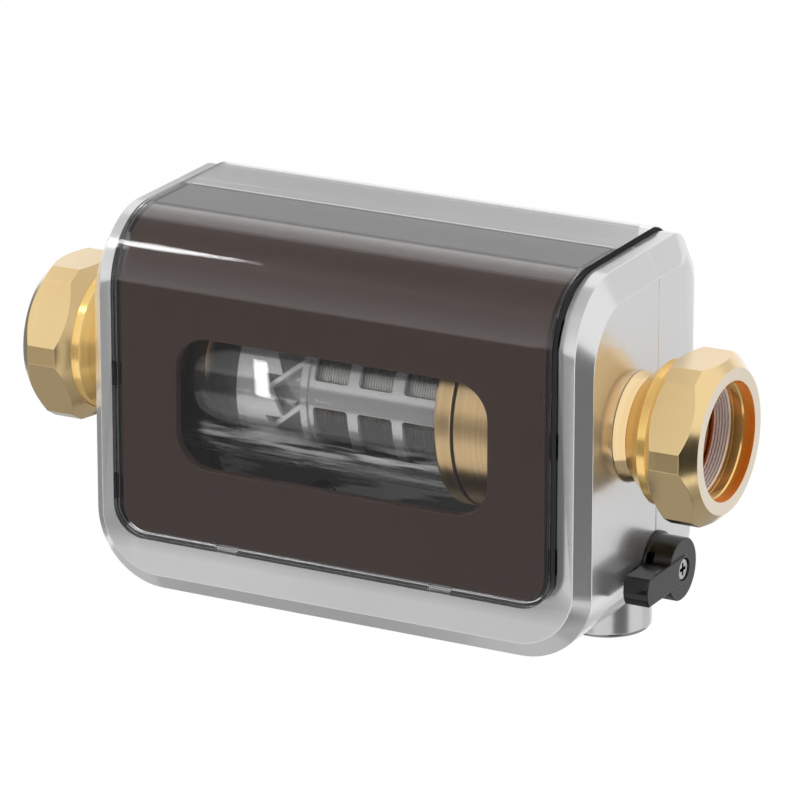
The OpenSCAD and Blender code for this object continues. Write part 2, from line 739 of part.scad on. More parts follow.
// Clear chamber: a thick tube with one closed end and the inlet port
module filter_chamber() color([0.8, 0.85, 0.88, 0.4]) placed() turned([
    [spigot_r + seat_gap, -inner_x], [port_boss_r, -inner_x], [port_boss_r, -chamber_end_x],
    [chamber_r - chamber_bevel, -chamber_end_x], [chamber_r, chamber_bevel - chamber_end_x],
    [chamber_r, cap_x + socket_len - seat_gap], [chamber_in_r, cap_x + socket_len - seat_gap],
    [chamber_in_r, chamber_bevel - chamber_in_x], [chamber_in_r - chamber_bevel, -chamber_in_x],
    [bore_r, -chamber_in_x], [bore_r, -port_floor_x], [spigot_r + seat_gap, -port_floor_x]]);

// Dark dome that spreads the incoming water
module flow_dome() color("#3a3a3c") placed() difference() {
    arc_r = (pow(dome_len, 2) + pow(cage_r, 2)) / (2 * dome_len);
    translate([dome_back_x - seat_gap, 0, 0]) rotate([0, 90, 0]) rotate_extrude() intersection() {
        translate([0, arc_r - dome_len]) circle(arc_r);
        translate([0, -dome_len]) square([cage_r, dome_len]);
    }
    bar(dome_back_x - dome_len / 4, dome_back_x, core_r - dome_wall);
}

// Black ring between the dome and the swirl ring
module dome_ring() color("#1c1c1e") placed()
    ring(dome_back_x, swirl_x - seat_gap, core_r - dome_wall, cage_r + dome_ring_out);

// Clear swirl ring: a core sleeve, a toothed outer sleeve and slanted vanes between
module swirl_ring() color([0.85, 0.88, 0.9, 0.45]) placed() {
    pitch = 360 / vane_count;
    tip_x = swirl_x + sleeve_len;
    tooth_h = 2 * swirl_r * tan(pitch / 2);
    end_x = screen_x - seat_gap;
    ring(swirl_x, end_x, core_r - sleeve_wall, core_r);
    ring(swirl_x, swirl_x + swirl_rim_len, core_r - sleeve_wall / 2, swirl_r);
    ring(end_x - swirl_rim_len, end_x, core_r - sleeve_wall / 2, swirl_r);
    difference() {
        ring(swirl_x, tip_x, swirl_r - sleeve_wall, swirl_r);
        for (i = [0 : vane_count - 1])
            rotate([i * pitch, 0, 0]) linear_extrude(2 * swirl_r) polygon([
                [tip_x - tooth_len, tooth_h / 2], [tip_x + past, tooth_h / 2],
                [tip_x + past, -tooth_h / 2], [tip_x, -tooth_h / 2]]);
    }
    intersection() {
        ring(swirl_x + swirl_rim_len / 2, end_x - swirl_rim_len / 2, core_r - sleeve_wall / 2, swirl_r);
        for (i = [0 : vane_count - 1])
            rotate([(i - 0.5) * pitch, 0, 0])
                translate([tip_x, 0, 0]) rotate([0, 0, vane_angle])
                    translate([-swirl_len, -vane_t / 2, core_r - sleeve_wall])
                        cube([2 * swirl_len, vane_t, swirl_r]);
    }
}

// Clear cage round the screen: ring ribs and long bars with rounded windows between
module screen_cage() color([0.85, 0.88, 0.9, 0.45]) placed() {
    cage_end_x = collar_x + cage_foot_len;
    row_step = screen_len / cage_rows;
    row_len = row_step - cage_rib_w;
    pitch = 360 / cage_bars;
    open_w = 2 * cage_in_r * sin(pitch / 2) - cage_bar_w;
    open_r = row_len / 10;
    difference() {
        ring(screen_x, cage_end_x, cage_in_r, cage_r);
        for (row = [0 : cage_rows - 1], i = [0 : cage_bars - 1])
            rotate([cage_turn + (i + 0.5) * pitch, 0, 0])
                translate([screen_x + cage_rib_w / 2 + row * row_step, 0, 0])
                    linear_extrude(2 * cage_r)
                        round_box(0, -open_w / 2, row_len, open_w / 2, open_r, open_r, open_r);
    }
    ring(cage_end_x - cage_rib_w, cage_end_x, pocket_in_r + seat_gap, cage_r - cage_wall / 2);
}

// Stainless screen of profile wire, wound in close turns
module filter_screen() color("#b9b9b6") placed() {
    start_x = screen_x + seat_gap;
    turns = floor((screen_len + cage_foot_len - cage_rib_w - 2 * seat_gap) / wire_step);
    turned(concat(
        [[screen_r - screen_wall, start_x]],
        [for (i = [0 : turns - 1], k = [0 : 3])
            [screen_r - (k == 0 || k == 3 ? wire_depth : 0),
                start_x + wire_step * (i + [0, 0.25, 0.75, 1][k])]],
        [[screen_r - screen_wall, start_x + wire_step * turns]]));
}

// Brass collar ring on the end of the chamber
module collar_ring() color("#b7975f") placed() turned([
    [chamber_r + seat_gap, collar_x], [collar_r - collar_bevel, collar_x],
    [collar_r, collar_x + collar_bevel], [collar_r, collar_end_x], [chamber_r + seat_gap, collar_end_x]]);

// Black flat seal between the collar and the end cap
module collar_seal() color("#202022") placed()
    ring(collar_end_x, cap_x, chamber_r + seat_gap, cap_r - collar_step);

// Brass outlet manifold: end cap, clean water tube, dirt pocket and drain boss
module outlet_manifold() color("#c2a36a") placed() difference() {
    union() {
        turned([
            [0, cap_x], [cap_r - collar_step, cap_x], [cap_r, cap_x + collar_step],
            [cap_r, cap_end_x - cap_wall], [cap_r - cap_wall, cap_end_x], [waist_r, cap_end_x],
            [waist_r, waist_end_x], [port_boss_r, waist_end_x], [port_boss_r, inner_x], [0, inner_x]]);
        ring(collar_x + cage_rib_w - past, cap_x + past, bore_r - past, pocket_in_r);
        translate([drain_x, seam_y, socket_floor - ball_z + seat_gap])
            cylinder(r = boss_r, h = ball_z - socket_floor - pocket_in_r);
    }
    bar(0, inner_x, bore_r);
    bar(port_floor_x, inner_x + past, spigot_r + seat_gap);
    ring(cap_x - past, cap_x + socket_len, pocket_in_r, chamber_r + seat_gap);
    ring(cap_x, pocket_end_x, pocket_in_r, pocket_out_r);
    translate([drain_x, seam_y, socket_floor - ball_z - past])
        cylinder(d = drain_bore_d, h = ball_z - socket_floor - pocket_in_r + 2 * past);
}

// Brass tailpiece: spigot, neck, flange and key socket, made once for both ends
module tailpiece() color("#cfa967") difference() {
    union() {
        bar(spigot_end_x, shoulder_end_x, spigot_r);
        turned([
            [0, wall_x + seat_gap], [shoulder_end_r + shoulder_taper, wall_x + seat_gap],
            [shoulder_end_r, shoulder_end_x], [0, shoulder_end_x]]);
        bar(shoulder_end_x - past, flange_out_x, tail_neck_r);
        bar(flange_in_x, flange_out_x, tail_flange_d / 2);
    }
    bar(spigot_end_x - past, flange_out_x + past, bore_r);
    hex_bar(flange_out_x - tail_key_depth, flange_out_x + past, 2 * (bore_r + tail_key_out));
}

// Flat seal at the bottom of a port
module port_seal() color("#2a2a2c")
    ring(port_floor_x + seat_gap, spigot_end_x - seat_gap, bore_r + 2 * seat_gap, spigot_r - 2 * seat_gap);

// Flat fibre washer that the pipe seals on
module washer() color("#8a4a3a")
    ring(flange_out_x, seat_x, washer_hole_d / 2, tail_flange_d / 2);

// Captive union nut: hexagon with flattened corners, turned chamfers, collar and cone
module union_nut() color("#d8b476") {
    cone_x = nut_back_x + nut_cone_len;
    hex_x = cone_x + nut_collar_len;
    hex_len = nut_face_x - hex_x;
    hole_r = tail_neck_r + free_gap;
    back_r = nut_af / 2 - nut_back_in;
    neck_r = nut_af / 2 - nut_collar_in;
    face_r = nut_af / 2 - nut_face_in;
    difference() {
        union() {
            intersection() {
                nut_bar(hex_x, nut_face_x, nut_af, nut_corner_out);
                turned([
                    [0, nut_face_x], [face_r, nut_face_x],
                    [face_r + hex_len * tan(nut_chamfer_angle), hex_x], [0, hex_x]]);
                turned([
                    [0, hex_x], [back_r, hex_x],
                    [back_r + hex_len * tan(nut_back_angle), nut_face_x], [0, nut_face_x]]);
            }
            turned([
                [0, nut_back_x], [hole_r + nut_cone_wall, nut_back_x], [neck_r, cone_x],
                [neck_r, hex_x + past], [0, hex_x + past]]);
        }
        bar(nut_back_x - past, nut_face_x, hole_r);
        bar(nut_shoulder_x, seat_x, nut_relief_d / 2);
        bar(seat_x - past, nut_face_x, nut_thread_d / 2);
        bar(seat_x + nut_thread_len, nut_face_x + past, nut_mouth_d / 2);
    }
}

module inlet_tailpiece() placed() inlet_side() tailpiece();
module inlet_port_seal() placed() inlet_side() port_seal();
module inlet_washer() placed() inlet_side() washer();
module inlet_nut() placed() inlet_side() union_nut();
module outlet_tailpiece() placed() tailpiece();
module outlet_port_seal() placed() port_seal();
module outlet_washer() placed() washer();
module outlet_nut() placed() union_nut();

// Moves a piece to the middle of the valve ball
module at_ball() placed() translate([drain_x, seam_y, -ball_z]) children();

// Upright round bar between two heights
module post(z0, z1, r) translate([0, 0, z0]) cylinder(r = r, h = z1 - z0);

// Brass valve body: socket for the manifold boss, ball chamber and stem tube
module valve_body() color("#b99b62") at_ball() difference() {
    union() {
        post(valve_low, valve_top, valve_d / 2);
        bar(0, tube_end_x, stem_tube_r);
    }
    post(seal_low, valve_top + past, boss_r + seat_gap);
    post(cavity_top - past, seal_low + past, drain_bore_d / 2);
    post(valve_low - past, cavity_top, cavity_r);
    bar(0, wall_from_ball, stem_d / 2 + turn_gap);
    bar(gland_x, wall_from_ball, gland_r);
}

// Flat seal between the manifold boss and the valve body
module valve_seal() color("#262628") at_ball() difference() {
    post(seal_low, socket_floor, boss_r - 2 * seat_gap);
    post(seal_low - past, socket_floor + past, drain_bore_d / 2 + 2 * seat_gap);
}

// Ring with a hollow that clears the ball, between two heights
module ball_seat(z0, z1) at_ball() difference() {
    post(z0, z1, cavity_r - seat_gap);
    post(z0 - past, z1 + past, drain_bore_d / 2);
    sphere(r = ball_r + free_gap);
}

module upper_seat() color("whitesmoke") ball_seat(ball_r / 2, cavity_top - seat_gap);
module lower_seat() color("whitesmoke") ball_seat(valve_low, -ball_r / 2);

// Chromed ball, bored across; at rest the bore lies level and the drain is shut
module drain_ball() color("silver") at_ball() difference() {
    sphere(d = ball_d);
    rotate([90, 0, 0]) cylinder(d = drain_bore_d - past, h = 2 * ball_d, center = true);
    translate([ball_r - tang_depth - seat_gap, -ball_d, -tang_t / 2 - seat_gap])
        cube([ball_d, 2 * ball_d, tang_t + 2 * seat_gap]);
}

// Steel stem: tang in the ball, round shank, square end for the lever
module drain_stem() color("#a9a9a6") at_ball() difference() {
    tang_w = stem_d - past;
    union() {
        translate([ball_r - tang_depth, -tang_w / 2, -tang_t / 2])
            cube([tang_depth + ring_start, tang_w, tang_t]);
        bar(cavity_r, hub_x, stem_d / 2);
        translate([wall_from_ball, -stem_square / 2, -stem_square / 2])
            cube([stem_end_x - wall_from_ball, stem_square, stem_square]);
    }
    for (x = ring_stations)
        ring(x - groove_w / 2, x + groove_w / 2, groove_r, stem_d);
    bar(recess_x - lever_screw_len - past, stem_end_x + past, lever_screw_d / 2 + seat_gap);
}

// Two rubber rings in the grooves of the stem
module stem_rings() color("#1e1e20") at_ball() for (x = ring_stations)
    translate([x, 0, 0]) rotate([0, 90, 0]) rotate_extrude()
        translate([(stem_d - ring_t) / 2 - seat_gap, 0]) circle(d = ring_t);

// Plain bush that closes the stem tube
module stem_gland() color("#d2d2cf") at_ball()
    ring(gland_x + seat_gap, tube_end_x, stem_d / 2 + turn_gap, gland_r - seat_gap);

// Black lever: hub with a thin foot and a straight blade that points to the front
module drain_lever() color("#2b2a2a") at_ball() difference() {
    hole = stem_square + 2 * seat_gap;
    union() {
        bar(hub_x, hub_x + hub_foot_t, hub_d / 2 + hub_foot_out);
        bar(hub_x, hub_end_x - blade_proud, hub_d / 2);
        lever_blade(hub_end_x - blade_t, hub_end_x);
    }
    translate([hub_x + hub_foot_t, -hub_d / 2 - past, -blade_h / 4])
        cube([notch_w, notch_depth + past, blade_h]);
    bar(recess_x, hub_end_x + past, recess_d / 2);
    bar(hub_x, hub_end_x, lever_screw_d / 2 + seat_gap);
    translate([hub_x - past, -hole / 2, -hole / 2])
        cube([stem_end_x - hub_x + past + seat_gap, hole, hole]);
}

// The blade of the lever between two stations, with a rounded free end
module lever_blade(x0, x1) translate([x0, 0, 0]) rotate([90, 0, 90]) linear_extrude(x1 - x0)
    intersection() {
        union() {
            translate([-blade_len, -blade_h / 2]) square([blade_len, blade_h]);
            circle(d = blade_h);
        }
        translate([blade_end_r - blade_len, 0]) union() {
            circle(blade_end_r);
            translate([0, -blade_h]) square([blade_len + blade_h, 2 * blade_h]);
        }
    }

// Cross-head screw that holds the lever on the stem
module lever_screw() color("silver") at_ball() translate([recess_x, 0, 0]) rotate([0, 90, 0]) difference() {
    head_h = 0.8 * recess_depth;
    union() {
        post(seat_gap, head_h, recess_d / 2 - free_gap);
        post(-lever_screw_len, past, lever_screw_d / 2);
    }
    translate([0, 0, head_h]) cross_drive(head_h / 2);
}

// Silver spout under the valve, threaded for a drain hose fitting
module drain_spout() color("lightgray") at_ball() rotate_extrude() {
    end_z = ball_z - spout_low;
    shelf_z = valve_low - seat_gap;
    polygon([
        [valve_d / 2 + seat_gap, spout_top], [spout_r, spout_top], [spout_r, end_z + spout_bevel],
        [spout_r - spout_bevel / 3, end_z + spout_bevel / 3], [spout_r - spout_bevel, end_z],
        [spout_thread_d / 2, end_z], [spout_thread_d / 2, end_z + spout_thread_len],
        [drain_bore_d / 2, end_z + spout_thread_len], [drain_bore_d / 2, shelf_z],
        [valve_d / 2 + seat_gap, shelf_z]]);
}

front_shell();
rear_shell();
clear_cover();
fascia_panel();
top_trim();
housing_screws();
filter_chamber();
flow_dome();
dome_ring();
swirl_ring();
screen_cage();
filter_screen();
collar_ring();
collar_seal();
outlet_manifold();
inlet_tailpiece();
inlet_port_seal();
inlet_washer();
inlet_nut();
outlet_tailpiece();
outlet_port_seal();
outlet_washer();
outlet_nut();
valve_body();
valve_seal();
upper_seat();
lower_seat();
drain_ball();
drain_stem();
stem_rings();
stem_gland();
drain_lever();
lever_screw();
drain_spout();
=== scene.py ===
import math

import bmesh
import bpy
from mathutils import Matrix, Vector


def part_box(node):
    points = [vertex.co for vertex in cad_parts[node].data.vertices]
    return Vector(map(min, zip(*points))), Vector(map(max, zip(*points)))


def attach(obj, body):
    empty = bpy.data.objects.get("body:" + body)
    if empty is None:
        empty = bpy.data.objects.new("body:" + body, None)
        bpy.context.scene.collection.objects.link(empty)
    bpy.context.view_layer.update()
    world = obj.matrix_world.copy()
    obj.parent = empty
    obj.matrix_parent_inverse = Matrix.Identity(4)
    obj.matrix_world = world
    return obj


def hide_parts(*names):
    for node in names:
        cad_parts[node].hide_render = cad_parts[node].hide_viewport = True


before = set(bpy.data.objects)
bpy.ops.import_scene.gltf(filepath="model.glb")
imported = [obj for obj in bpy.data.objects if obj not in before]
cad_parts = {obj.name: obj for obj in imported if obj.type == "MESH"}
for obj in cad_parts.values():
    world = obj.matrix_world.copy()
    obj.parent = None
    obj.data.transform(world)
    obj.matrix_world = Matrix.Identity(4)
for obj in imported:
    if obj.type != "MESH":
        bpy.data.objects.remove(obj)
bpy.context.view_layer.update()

# Housing: a front shell and a rear shell, moulded in dark ABS and sprayed satin silver.
# They meet at a seam behind the pipe axis and four screws from the back hold them
# together. Inside, and in the seat under the cover, they are near-black bare plastic that
# also stands in for the shade there: painted shade. Bright streaky patches on the far and
# lower walls inside are painted light, for the light seen through the window.


def made_object(bm, name):
    """Object in the scene with the mesh of a finished bmesh."""
    mesh = bpy.data.meshes.new(name)
    bm.to_mesh(mesh)
    bm.free()
    piece = bpy.data.objects.new(name, mesh)
    bpy.context.scene.collection.objects.link(piece)
    return piece


def shade(bm, crease_deg):
    """Smooth faces, with every edge above an angle left sharp."""
    for face in bm.faces:
        face.smooth = True
    for line in bm.edges:
        line.smooth = line.calc_face_angle(0.0) < math.radians(crease_deg)


def dressed_copy(node, name, crease_deg=24.0, edge=0.0003, rounds=2, clamp=True):
    """Copy of a CAD solid with its triangles merged, its creases kept and its edges eased."""
    flat_deg = 0.4
    bm = bmesh.new()
    bm.from_mesh(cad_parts[node].data)
    bmesh.ops.remove_doubles(bm, verts=bm.verts, dist=2e-6)
    bmesh.ops.dissolve_degenerate(bm, dist=1e-6, edges=bm.edges)
    bmesh.ops.dissolve_limit(
        bm, angle_limit=math.radians(flat_deg), use_dissolve_boundaries=False,
        verts=bm.verts, edges=bm.edges, delimit={"NORMAL"})
    shade(bm, crease_deg)
    piece = made_object(bm, name)
    if edge > 0:
        ease = piece.modifiers.new("eased_edges", "BEVEL")
        ease.limit_method = "ANGLE"
        ease.angle_limit = math.radians(crease_deg)
        ease.width = edge
        ease.segments = rounds
        ease.use_clamp_overlap = clamp
        ease.harden_normals = True
    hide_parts(node)
    return piece


def new_material(name):
    """Material with its Principled shader, node tree and Object coordinates."""
    mat = bpy.data.materials.new(name)
    mat.use_nodes = True
    tree = mat.node_tree
    shader = tree.nodes["Principled BSDF"]
    place = tree.nodes.new("ShaderNodeTexCoord")
    return mat, tree, shader, place.outputs["Object"]


def speckle(tree, place, scale, detail=3.0, stretch=(1.0, 1.0, 1.0)):
    """Noise in Object coordinates, stretched along the axes where the finish has a grain."""
    grain = tree.nodes.new("ShaderNodeMapping")
    grain.inputs["Scale"].default_value = stretch
    noise = tree.nodes.new("ShaderNodeTexNoise")
    noise.inputs["Scale"].default_value = scale
    noise.inputs["Detail"].default_value = detail
    tree.links.new(place, grain.inputs["Vector"])
    tree.links.new(grain.outputs["Vector"], noise.inputs["Vector"])
    return noise.outputs["Fac"]


def between(tree, value, start, end):
    """0 to 1 value between two levels of another value."""
    span = tree.nodes.new("ShaderNodeMapRange")
    span.inputs["From Min"].default_value = start
    span.inputs["From Max"].default_value = end
    tree.links.new(value, span.inputs["Value"])
    return span.outputs["Result"]


def along(tree, place, axis, start, end):
    """0 to 1 value between two places on an axis of the part."""
    axes = tree.nodes.new("ShaderNodeSeparateXYZ")
    tree.links.new(place, axes.inputs["Vector"])
    return between(tree, axes.outputs[axis], start, end)


def colours(tree, shader, value, dark, light):
    """Base colour, blended from two colours by a 0 to 1 value."""
    ramp = tree.nodes.new("ShaderNodeValToRGB")
    ramp.color_ramp.elements[0].color = (*dark, 1.0)
    ramp.color_ramp.elements[1].color = (*light, 1.0)
    ramp.color_ramp.elements[0].position = 0.3
    ramp.color_ramp.elements[1].position = 0.7
    tree.links.new(value, ramp.inputs["Fac"])
    tree.links.new(ramp.outputs["Color"], shader.inputs["Base Color"])


def spread(tree, shader, socket, value, low, high):
    """Maps a 0 to 1 value onto a range of one socket of the shader."""
    span = tree.nodes.new("ShaderNodeMapRange")
    span.inputs["To Min"].default_value = low
    span.inputs["To Max"].default_value = high
    tree.links.new(value, span.inputs["Value"])
    tree.links.new(span.outputs["Result"], shader.inputs[socket])


def relief(tree, shader, value, depth, strength=0.3):
    """Fine surface relief on a shader."""
    bump = tree.nodes.new("ShaderNodeBump")
    bump.inputs["Strength"].default_value = strength
    bump.inputs["Distance"].default_value = depth
    tree.links.new(value, bump.inputs["Height"])
    tree.links.new(bump.outputs["Normal"], shader.inputs["Normal"])


silver, tree, shader, place = new_material("satin_silver")
flake = speckle(tree, place, 900.0, 2.0)
cloud = speckle(tree, place, 14.0, 2.0)
colours(tree, shader, cloud, (0.71, 0.71, 0.715), (0.75, 0.75, 0.755))
spread(tree, shader, "Roughness", flake, 0.19, 0.24)
# Painted light: below the rim the paint is much less metallic, so the bottom edge reads paler.
skirt_top, skirt_end = -0.056, -0.064
skirt = along(tree, place, "Z", skirt_top, skirt_end)
spread(tree, shader, "Metallic", skirt, 0.82, 0.36)
shader.inputs["Coat Weight"].default_value = 0.5
shader.inputs["Coat Roughness"].default_value = 0.08
relief(tree, shader, flake, 0.00002, 0.012)

# Near-black bare plastic, which is also the painted shade inside the housing and under the cover.
bare_shade, tree, shader, place = new_material("bare_dark_abs_and_shade")
spark = speckle(tree, place, 600.0)
colours(tree, shader, spark, (0.010, 0.010, 0.010), (0.018, 0.017, 0.017))
spread(tree, shader, "Roughness", spark, 0.4, 0.55)
relief(tree, shader, spark, 0.00004, 0.2)

# Painted light: bright streaky patches for the far and lower walls inside.
painted_light_inside, tree, shader, place = new_material("painted_light_streaks_inside")
streak_noise = speckle(tree, place, 190.0, 2.0, (0.12, 1.0, 1.0))
painted_light_edge = between(tree, streak_noise, 0.38, 0.58)
colours(tree, shader, painted_light_edge, (0.25, 0.25, 0.25), (0.96, 0.96, 0.96))
spread(tree, shader, "Roughness", streak_noise, 0.25, 0.4)
relief(tree, shader, streak_noise, 0.0006, 0.4)

bare_shade_face, painted_light_face = 1, 2
cover_low, cover_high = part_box("clear_cover")
seat_slack = 0.0009
inside_low = (0.0205, -0.0365, -0.0765)
inside_high = (0.2145, 0.0485, 0.0568)
inside_mid = Vector((0.1175, 0.005, -0.010))
roof_front, roof_low = -0.012, 0.05
ledge_top = -0.05
far_wall_front = 0.03
low_wall_top = -0.06
for node in ("rear_shell", "front_shell"):
    shell = dressed_copy(node, node + "_silver", crease_deg=22.0, clamp=False)
    for finish in (silver, bare_shade, painted_light_inside):
        shell.data.materials.append(finish)
    for side in shell.data.polygons:
        spots = [shell.data.vertices[i].co for i in side.vertices]
        facing, mid = side.normal, side.center
        roof = facing.z > 0.7 and mid.y > roof_front and mid.z > roof_low
        seat = all(
            cover_low[k] - seat_slack < p[k] < cover_high[k] + seat_slack
            for p in spots for k in (0, 2))
        inner = facing.dot(inside_mid - mid) > 0.0 and all(
            inside_low[k] < p[k] < inside_high[k] for p in spots for k in (0, 1, 2))
        ledge = mid.z < ledge_top or facing.y > 0.5
        far_wall = facing.y < -0.5 and mid.y > far_wall_front
        low_wall = facing.z > 0.5 and mid.z < low_wall_top
        # Painted light on the far and lower walls inside; painted shade on the other inside faces
        # and the seat.
        if inner and (far_wall or low_wall):
            side.material_index = painted_light_face
        elif inner or (seat and not roof and not ledge):
            side.material_index = bare_shade_face
    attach(shell, "housing")

# Housing screws: four zinc-plated pan-head screws with a cross drive, at the bottom of
# deep holes in the rear shell, tapped straight into the posts of the front shell.
zinc, tree, shader, place = new_material("zinc_plated_steel")
dull = speckle(tree, place, 400.0)
colours(tree, shader, dull, (0.52, 0.52, 0.50), (0.62, 0.62, 0.60))
spread(tree, shader, "Roughness", dull, 0.28, 0.42)
shader.inputs["Metallic"].default_value = 1.0
screws = dressed_copy("housing_screws", "housing_screws_zinc", edge=0.00015)
screws.data.materials.append(zinc)
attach(screws, "housing")

# Filter chamber: a thick clear tube of moulded polycarbonate with one closed end.
# Its port takes the inlet tailpiece and its open end sits in the brass end cap.


def reckon(tree, operation, *values):
    """Result of a Math node on sockets or plain numbers."""
    sums = tree.nodes.new("ShaderNodeMath")
    sums.operation = operation
    for entry, value in zip(sums.inputs, values):
        if isinstance(value, float):
            entry.default_value = value
        else:
            tree.links.new(value, entry)
    return sums.outputs["Value"]


clear_ior = 1.49
nose_end, tube_start = 0.054, 0.064
streaks_top, streaks_full = -0.011, -0.017
tube_clear, tree, shader, place = new_material("clear_chamber_plastic")
# Painted shade: the closed end and its port are coloured near-black.
nose_shade = along(tree, place, "X", nose_end, tube_start)
colours(tree, shader, nose_shade, (0.030, 0.028, 0.027), (0.99, 0.99, 0.99))
shader.inputs["Roughness"].default_value = 0.0
shader.inputs["IOR"].default_value = clear_ior
# Painted light: low on the tube, white cloudy patches stand in for the glossy streaks that the
# thick wall refracts.
ripple_and_streak_noise = speckle(tree, place, 250.0, 2.0, (0.12, 0.8, 1.0))
low_side = along(tree, place, "Z", streaks_top, streaks_full)
streaks = reckon(tree, "MULTIPLY", between(tree, ripple_and_streak_noise, 0.52, 0.66), low_side)
spread(tree, shader, "Transmission Weight", streaks, 1.0, 0.35)
relief(tree, shader, streaks, 0.0004, 0.3)
chamber = dressed_copy("filter_chamber", "filter_chamber_clear", edge=0.0004)
chamber.data.materials.append(tube_clear)
chamber.visible_shadow = False
chamber.visible_diffuse = False
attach(chamber, "housing")

# Flow dome: a smoked black moulding at the nose of the cartridge that spreads the water.
# A black rubber ring sits between it and the swirl ring.
smoked, tree, shader, place = new_material("smoked_black_plastic")
sheen = speckle(tree, place, 60.0)
colours(tree, shader, sheen, (0.010, 0.0095, 0.009), (0.016, 0.015, 0.014))
spread(tree, shader, "Roughness", sheen, 0.32, 0.42)
dome = dressed_copy("flow_dome", "flow_dome_smoked")
dome.data.materials.append(smoked)
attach(dome, "housing")

rubber, tree, shader, place = new_material("black_rubber")
grit = speckle(tree, place, 700.0)
colours(tree, shader, grit, (0.010, 0.010, 0.010), (0.020, 0.019, 0.019))
spread(tree, shader, "Roughness", grit, 0.5, 0.7)
relief(tree, shader, grit, 0.00003, 0.2)
dome_ring = dressed_copy("dome_ring", "dome_ring_rubber", edge=0.0005)
dome_ring.data.materials.append(rubber)
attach(dome_ring, "housing")

# Swirl ring and screen cage: frosted clear mouldings. The toothed sleeve and the vanes of
# the ring set the water turning, and the ribs and bars of the cage keep the screen round.
# Painted light and shade: the colour runs from dark at the bottom to light at the top.
shade_rise_low, shade_rise_high = -0.020, 0.006
frosted, tree, shader, place = new_material("frosted_clear_plastic")
mist = speckle(tree, place, 45.0, 2.0)
painted_shade_rise = along(tree, place, "Z", shade_rise_low, shade_rise_high)
cloud_and_shade = reckon(tree, "MULTIPLY_ADD", mist, 0.3, painted_shade_rise)
colours(tree, shader, cloud_and_shade, (0.15, 0.15, 0.15), (0.78, 0.785, 0.79))
spread(tree, shader, "Roughness", mist, 0.08, 0.14)
shader.inputs["Metallic"].default_value = 0.35
shader.inputs["Transmission Weight"].default_value = 0.6
shader.inputs["IOR"].default_value = clear_ior
for node, edge in (("swirl_ring", 0.00025), ("screen_cage", 0.0003)):
    moulding = dressed_copy(node, node + "_frosted", edge=edge)
    moulding.data.materials.append(frosted)
    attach(moulding, "housing")

# Filter screen: stainless profile wire, wound in close turns round the core.
# Its colour runs from light grey on its upper side to dark brown on its lower side: painted light
# and shade.
screen_shade_low, screen_shade_high = -0.006, 0.010
stainless, tree, shader, place = new_material("wound_stainless_wire")
drawn = speckle(tree, place, 500.0, 3.0, (0.3, 1.0, 1.0))
screen_shade_rise = along(tree, place, "Z", screen_shade_low, screen_shade_high)
grain_and_shade = reckon(tree, "MULTIPLY_ADD", drawn, 0.35, screen_shade_rise)
colours(tree, shader, grain_and_shade, (0.060, 0.044, 0.036), (0.50, 0.49, 0.47))
spread(tree, shader, "Roughness", drawn, 0.22, 0.38)
shader.inputs["Metallic"].default_value = 1.0
screen = dressed_copy("filter_screen", "filter_screen_wire", edge=0.0)
screen.data.materials.append(stainless)
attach(screen, "housing")

# Collar ring and outlet manifold: turned brass with a brushed bronze finish and a thin
# black seal between them. The manifold holds the clean water tube and the dirt pocket.
bronze, tree, shader, place = new_material("brushed_bronze")
turned = speckle(tree, place, 900.0, 2.0, (1.0, 0.02, 0.02))
colours(tree, shader, turned, (0.68, 0.48, 0.25), (0.78, 0.57, 0.31))
spread(tree, shader, "Roughness", turned, 0.26, 0.38)
shader.inputs["Metallic"].default_value = 1.0
relief(tree, shader, turned, 0.00003, 0.12)
for node in ("collar_ring", "outlet_manifold"):
    casting = dressed_copy(node, node + "_bronze", edge=0.0004)
    casting.data.materials.append(bronze)
    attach(casting, "housing")
seal = dressed_copy("collar_seal", "collar_seal_rubber", edge=0.0)
seal.data.materials.append(rubber)
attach(seal, "housing")

# Tailpieces: turned brass, each with a round shoulder against the wall, a neck for the nut
# and a flange; the spigot inside the housing is given black rubber as painted shade. A flat
# rubber seal sits at the bottom of each port, and a fibre washer lies on each flange.


def ringed_metal(name, scale, drag, dark, light, gloss, metal):
    """Metal with the fine rings that a lathe leaves round the pipe axis."""
    mat, tree, shader, place = new_material(name)
    rings = speckle(tree, place, scale, 2.0, (1.0, drag, drag))
    colours(tree, shader, rings, dark, light)
    spread(tree, shader, "Roughness", rings, *gloss)
    shader.inputs["Metallic"].default_value = metal
    return mat


brass, tree, shader, place = new_material("satin_brass")
lathe = speckle(tree, place, 700.0, 2.0, (1.0, 0.03, 0.03))
tarnish = speckle(tree, place, 25.0, 3.0)
colours(tree, shader, tarnish, (0.83, 0.59, 0.27), (0.88, 0.65, 0.31))
spread(tree, shader, "Roughness", lathe, 0.16, 0.23)
shader.inputs["Metallic"].default_value = 1.0
shader.inputs["Coat Weight"].default_value = 1.0
shader.inputs["Coat Roughness"].default_value = 0.2
shader.inputs["Coat IOR"].default_value = 1.55
relief(tree, shader, lathe, 0.00002, 0.06)

bright = ringed_metal(
    "polished_brass", 600.0, 0.03, (0.88, 0.64, 0.34), (0.93, 0.72, 0.42), (0.10, 0.16), 1.0)

fibre, tree, shader, place = new_material("red_fibre")
felt = speckle(tree, place, 260.0, 5.0)
colours(tree, shader, felt, (0.42, 0.15, 0.09), (0.56, 0.22, 0.14))
spread(tree, shader, "Roughness", felt, 0.55, 0.75)
relief(tree, shader, felt, 0.00008, 0.3)

